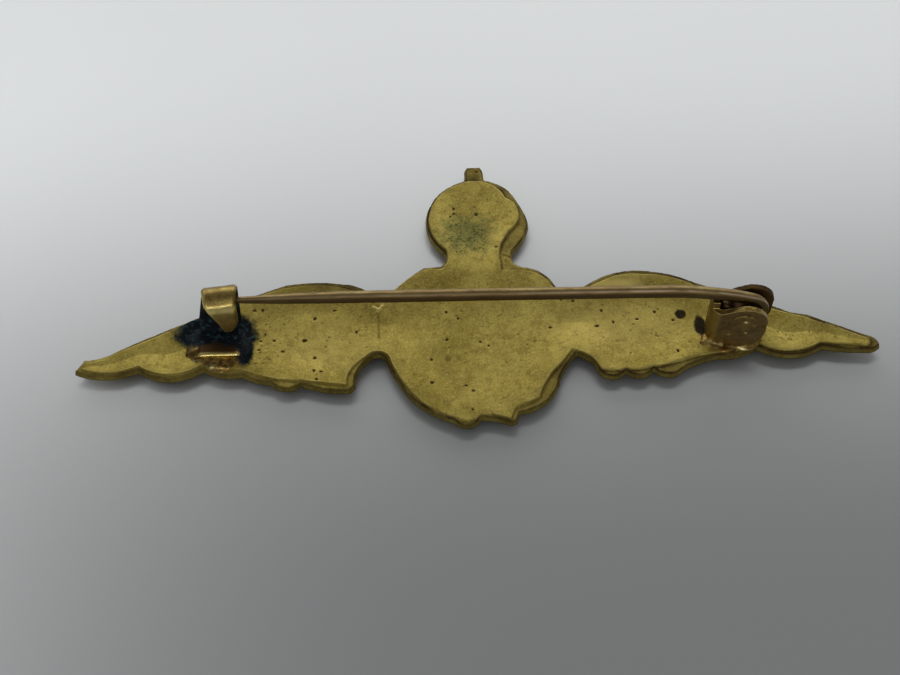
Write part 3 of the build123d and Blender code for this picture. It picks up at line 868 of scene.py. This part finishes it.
def build_hook(material):
    """The catch's strip: rings of points across it, one at each point of its middle line."""
    spine = strip_spine()
    distance = np.concatenate([[0], np.cumsum(np.linalg.norm(np.diff(spine, axis=0), axis=1))])
    steps, lefts, rights = np.array(strip_edges).T
    left, right = np.interp(distance, steps, lefts), np.interp(distance, steps, rights)
    runs = unit(np.gradient(spine, axis=0))
    half_ring = 15
    across = np.concatenate([np.linspace(0, 1, half_ring), np.linspace(1, 0, half_ring)])
    sides = len(across)
    points = []
    for n, (place, run, low, high) in enumerate(zip(spine, runs, left, right)):
        half = (high - low) / 2
        end = min(1, (distance[n] + 0.02) / 0.12, (distance[-1] - distance[n] + 0.02) / 0.14)
        thick = strip_thick / 2 * math.sqrt(end)  # both ends are rounded off
        for k, share in enumerate(across):
            x = (low + high) / 2 + half * (2 * share - 1)
            inset = max(0.0, 1 - min(share, 1 - share) * 2 * half / strip_corner)
            lift = thick * math.sqrt(max(0.0, 1 - inset ** 2)) if inset < 1 else 0.0
            lift = max(lift, 0.25 * thick) * (1 if k < half_ring else -1)
            turned = (x - strip_middle) * math.tan(catch_turn) * smooth(1.6, 3.4, distance[n])
            points.append((x, place[0] - run[1] * lift + turned, back_z + place[1] + run[0] * lift))
    points = np.array(points)
    dents = 0.035 * fractal(points, 1.1, 111) + 0.01 * fractal(points, 0.3, 113)
    points[:, 1:] += dents[:, None] * np.array([0.6, 0.8])
    piece = make_piece("hook_strip", points, loft_faces(len(spine), sides), material, "badge")

    # Painted highlights on the curl's front, the foot's bare front and the tongue's left edge, brown beside
    # them
    along = np.repeat(distance, sides)
    patchy = 0.5 + 0.5 * fractal(points, 0.55, 61)
    left_edge = np.tile((across < 0.09) * 1.0, len(spine)) * smooth(8.0, 8.6, along)
    # painted highlight along the curl's front
    shine = 1.6 * ridge(along, 9.55, 0.28) * (0.3 + 1.4 * patchy * patchy)
    shine = shine + 0.8 * smooth(1.5, 0.9, along) * (0.4 + patchy) + 0.9 * left_edge
    brown = smooth(9.9, 11.0, along) * 0.45 + 0.35 * smooth(8.1, 8.7, along) * (along < 9.2)
    brown = brown * (0.5 + patchy) + smooth(8.2, 6.6, along) * smooth(0.06, 0.35, along)
    soot = soot_mask(points) * smooth(3.9, 2.3, points[:, 2] - back_z)
    soot = soot * smooth(0.45, 0.75, along + 0.25 * patchy) * (along < 8) * 1.2
    paint(piece, polish=shine, grime=brown, soot=soot)
    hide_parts("catch_hook")


def build_joint_parts(brass):
    """The folded bracket and its rivet keep their CAD shapes, worn and browned, with painted shade and
    highlights.
    """
    for node, pitch in (("joint_bracket", 0.045), ("joint_rivet", 0.05)):
        piece, points, normals = carry_over(node, brass, pitch)
        patchy = 0.5 + 0.5 * fractal(points, 0.6, 61)
        away = points - rivet_at
        behind = smooth(0.3, 0.8, away @ rivet_axis)
        face = smooth(0.5, 0.9, -normals[:, 1])
        edge = smooth(0.97, 0.75, np.abs(normals).max(1))
        buried = smooth(-0.75, -0.55, away @ rivet_axis) if node == "joint_rivet" else behind
        left = smooth(0.5, 0.9, -normals[:, 0])
        # tarnish and painted shade on the front face, painted shade on what lies behind or inside
        grime = 0.5 * face + 0.35 * patchy + 0.8 * buried + 0.1 * left
        grime = grime - 0.35 * edge * (1 - buried) * (node == "joint_bracket")
        # painted glints on the ear's first two lumps
        glint = sum(bump(points[:, [0, 2]], place, reach) for place, reach in ear_lumps[:2])
        glint = glint * (away @ rivet_axis < -1)
        # painted highlights on the bracket's bends, with the glints
        shine = 0.7 * edge * patchy * (1 - buried) * (node == "joint_bracket") + 1.5 * glint
        soot = soot_mask(points) * smooth(1.2, 0.4, points[:, 2] - back_z)
        paint(piece, grime=grime, polish=shine, soot=soot)


def tube(path, radii, sides):
    """Points in rings along a path of places, with a radius at each place."""
    runs = unit(np.gradient(path, axis=0))
    across = np.array([0.0, 1.0, 0.0])
    turns = np.arange(sides) / sides * 2 * math.pi
    points = []
    for place, run, radius in zip(path, runs, radii):
        side = across - run * (across @ run)
        side /= np.linalg.norm(side)
        upright = np.cross(run, side)
        points.append(place + radius * (np.outer(np.cos(turns), side) + np.outer(np.sin(turns), upright)))
    return np.concatenate(points)


def build_needle():
    """One wire: a turn round the rivet, a long shank and a fine tapered point inside the hook."""
    low, high = box_mm("needle")
    ring_radius = high[0] - rivet_at[0] - wire_radius
    along = shank_axis * np.sign(-shank_axis[0])  # towards the point
    flat = np.array([along[0], along[1], 0]) / math.hypot(along[0], along[1])
    up = np.array([0, 0, 1.0])
    run_start = shank_at - along * shank_length / 2
    run_end = shank_at + along * shank_length / 2

    # The turn starts past the top of the rivet and goes round under it to the wire's root.
    wire_end, root_turn = math.radians(-52), math.radians(20)
    path = []
    for angle in np.linspace(wire_end, root_turn - 2 * math.pi, 60):
        path.append(rivet_at + ring_radius * (-flat * math.sin(angle) + up * math.cos(angle)))
    root = path[-1]
    reach = (run_start - root) @ flat
    rise = (run_start - root) @ up
    for share in np.linspace(0, 1, 40)[1:]:
        bend = share * (2 - share)
        path.append(root + flat * reach * share + up * rise * bend)
    steps = np.linspace(0, 1, 60)[1:]
    path += [run_start + (run_end - run_start) * share for share in steps]
    tail = run_end[0] - low[0]
    drop = 0.3  # the point dips this far
    path += [run_end + along * tail * share - up * drop * share ** 2 for share in steps]
    path = np.array(path)
    radii = np.full(len(path), wire_radius)
    radii[-len(steps):] = wire_radius - (wire_radius - 0.1) * steps ** 3
    radii[:2] = wire_radius * 0.6, wire_radius * 0.92
    path[:, 1] += 0.03 * noise(path[:, :2] * [1, 0], 7.0, 71)
    path[:, 2] += 0.02 * noise(path[:, :2] * [1, 0], 5.0, 73)
    sides, hidden_rings = 40, 24  # the wire's end is between the ears
    points = tube(path, radii, sides)
    points += 0.008 * noise(points, 0.5, 75)[:, None] * np.array([0, 1, 1])
    faces = loft_faces(len(path), sides)
    piece = make_piece("needle_wire", points, faces, wire_brass(), "needle")
    patchy = 0.5 + 0.5 * fractal(points, 1.6, 77)
    away = points - np.repeat(path, sides, 0)
    turn = np.degrees(np.arctan2(away[:, 2], -away[:, 1]))  # 0 in front, 90 on top
    # painted shade on the wire's lower side
    below = smooth(60, 40, turn) * smooth(-150, -120, turn)
    # painted dark where the wire is hidden between the ears
    wound = np.repeat(np.arange(len(path)) < hidden_rings, sides)
    # a painted highlight line along the wire's front
    painted_highlight_line = ridge(turn, 61, 6) * (0.3 + 0.7 * smooth(0, 9, points[:, 0])) * smooth(0.2, 0.6, patchy)
    paint(piece, grime=below * (0.65 + 0.35 * patchy) + wound, polish=painted_highlight_line)
    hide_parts("needle")


def build_pad(name, node, centre, reach, height, material, seed):
    """A lump of solder or residue, flowed out to an uneven edge over the plate's back."""
    rings, spokes = 34, 150
    turns = np.arange(spokes) / spokes * 2 * math.pi
    around = np.column_stack([np.cos(turns), np.sin(turns)])
    edge = 1 + 0.16 * noise(around * 1.2, 0.6, seed) + 0.07 * noise(around * 1.2, 0.2, seed + 1)
    edge = edge[:, None] * around * reach
    shares = np.linspace(0, 1, rings + 1)[1:]
    plan = np.concatenate([[centre]] + [centre + edge * share for share in shares])
    out = np.concatenate([[0.0], np.repeat(shares, spokes)])
    rim_depth = rim.depth(plan)
    base = back_surface(plan, np.maximum(rim_depth, 0), field.depth(plan))
    thick = height * np.clip(1 - out ** 3, 0, 1) ** 0.6 * (0.75 + 0.35 * fractal(plan, 0.8, seed + 2))
    thick *= 0.55 + 0.45 * smooth(centre[1] - 1.0, centre[1] - 0.2, plan[:, 1])
    thick = np.maximum(thick * smooth(0.0, 0.35, rim_depth), 0)
    top = base + thick - 0.02 * smooth(0.85, 1.0, out) - 0.3 * (rim_depth < 0)
    bottom = np.minimum(base - 0.12, top - 0.02)
    points = np.concatenate([np.column_stack([plan, top]), np.column_stack([plan, bottom])])
    size = len(plan)
    last = 1 + (rings - 1) * spokes
    faces, wall = [], []
    for n in range(spokes):
        m = (n + 1) % spokes
        faces.append((0, 1 + n, 1 + m))
        for start in range(1, last, spokes):
            a, b = start + n, start + m
            faces.append((a, a + spokes, b + spokes, b))
        wall.append((last + n, last + n + size, last + m + size, last + m))
    under = [tuple(i + size for i in face[::-1]) for face in faces]
    piece = make_piece(name, points, faces + under + wall, material, "badge")
    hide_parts(node)
    return piece, points


def build_solder():
    """The residue round the catch's foot and the solder round the joint, with painted glints in front."""
    pad, points = build_pad("catch_residue", "catch_solder", (-19.15, -4.85), (2.45, 2.25), 0.66,
                            flux_residue(), 81)
    # painted glints at the residue's front
    left, right = bump(points, (-21.15, -6.25), (0.35, 0.3)), bump(points, (-19.8, -6.75), (0.55, 0.25))
    glints = 1.6 * np.maximum(left, right) * (0.5 + fractal(points, 0.25, 97))
    paint(pad, brass=1 - soot_mask(points), glint=glints)

    pad, points = build_pad("joint_fillet", "joint_solder", (18.95, -5.6), (2.1, 1.45), 0.48,
                            joint_solder_metal(), 91)
    # painted glints along the fillet's lip
    glints = 1.6 * band(points, (17.0, -5.9), (18.3, -6.55), 0.22)
    glints = glints + 0.5 * band(points, (18.3, -6.55), (20.6, -6.9), 0.16)
    glints = 1.4 * glints * (0.6 + fractal(points, 0.3, 99))
    paint(pad, grime=soot_mask(points) + 0.3 * fractal(points, 0.6, 95), glint=glints)


build_plate()
brass = strip_brass()
build_hook(brass)
build_joint_parts(brass)
build_needle()
build_solder()


# ---- floor, light and camera

# The camera's place, its height measured from the badge's raised field, and its angles in degrees
camera_at = (-1.967, -60.685, 79.774)
camera_tilt, camera_roll = 55, 2.06  # above the floor, and about its own line of sight


def build_floor():
    """A plain pale floor, a metre and a half to each side."""
    n = Nodes("pale matt floor")
    colour = n.mix(n.speckle(0.02, 2, 0.5), (0.50, 0.515, 0.515), (0.53, 0.545, 0.545))
    n.finish(colour, 0.55, 0.0, n.bump(n.speckle(1.5, 3, 0.5), 0.01))
    mesh = bpy.data.meshes.new("floor")
    corners = [(1.5 * x, 1.5 * y, 0) for x, y in ((-1, -1), (1, -1), (1, 1), (-1, 1))]
    mesh.from_pydata(corners, [], [(0, 1, 2, 3)])
    mesh.materials.append(n.material)
    floor = placed("floor", mesh)
    return floor


def add_light(name, lit, power, size, place, target=(0, 0, 0), spread=180):
    """A soft panel light, in millimetres, that looks at the target and lights only one collection."""
    lamp = bpy.data.lights.new(name, "AREA")
    lamp.shape = "RECTANGLE"
    lamp.size, lamp.size_y = (side * MM for side in size)
    lamp.energy, lamp.spread = power, math.radians(spread)
    light = placed(name, lamp)
    light.location = Vector(place) * MM
    light.visible_camera = False
    light.rotation_euler = (Vector(target) - Vector(place)).to_track_quat("-Z", "Y").to_euler()
    light.light_linking.receiver_collection = lit


def build_stage():
    """The floor, the lamps for the floor, the badge and its findings, a pale surrounding and the camera."""
    scene = bpy.context.scene
    names = ("floor only", "badge only", "findings only")
    floor_only, badge_only, findings_only = (bpy.data.collections.new(name) for name in names)
    floor_only.objects.link(build_floor())
    for piece in scene.objects:
        if "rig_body" in piece:
            badge_only.objects.link(piece)
            if piece.name.startswith(("hook", "worn", "catch_residue", "joint_fillet")):
                findings_only.objects.link(piece)
    add_light("floor glow", floor_only, 0.69, (600, 400), (-10, 203, 60), (-10, 203, 0), 56)
    add_light("left glow", floor_only, 0.007, (40, 60), (-62, -16, 60), (-62, -16, 0), 80)
    add_light("floor fill", floor_only, 0.045, (400, 300), (0, -60, 300))
    add_light("floor panel", floor_only, 0.21, (460, 220), (0, 260, 150))
    add_light("far panel", badge_only, 0.37, (460, 220), (0, 260, 150))
    add_light("low strip", findings_only, 0.21, (320, 40), (-30, -300, 75))
    add_light("near fill", badge_only, 0.12, (260, 200), (60, -260, 260))
    world = bpy.data.worlds.new("studio")
    world.use_nodes = True
    around = world.node_tree.nodes["Background"].inputs
    around["Color"].default_value = (0.86, 0.88, 0.88, 1)
    around["Strength"].default_value = 0.25
    scene.world = world
    scene.view_settings.view_transform = "Standard"

    tilt, roll = math.radians(camera_tilt), math.radians(camera_roll)
    back = Vector((0, -math.cos(tilt), math.sin(tilt)))
    upright = Vector((0, math.sin(tilt), math.cos(tilt)))
    level = Vector((1, 0, 0))
    right = level * math.cos(roll) - upright * math.sin(roll)
    up = level * math.sin(roll) + upright * math.cos(roll)
    lens = bpy.data.cameras.new("camera")
    lens.lens = 52.0
    lens.clip_start = 0.005
    camera = placed("camera", lens)
    turn = Matrix((right, up, back)).transposed().to_4x4()
    place = Vector((camera_at[0], camera_at[1], camera_at[2] + back_z))
    camera.matrix_world = Matrix.Translation(place * MM) @ turn
    scene.camera = camera


build_stage()
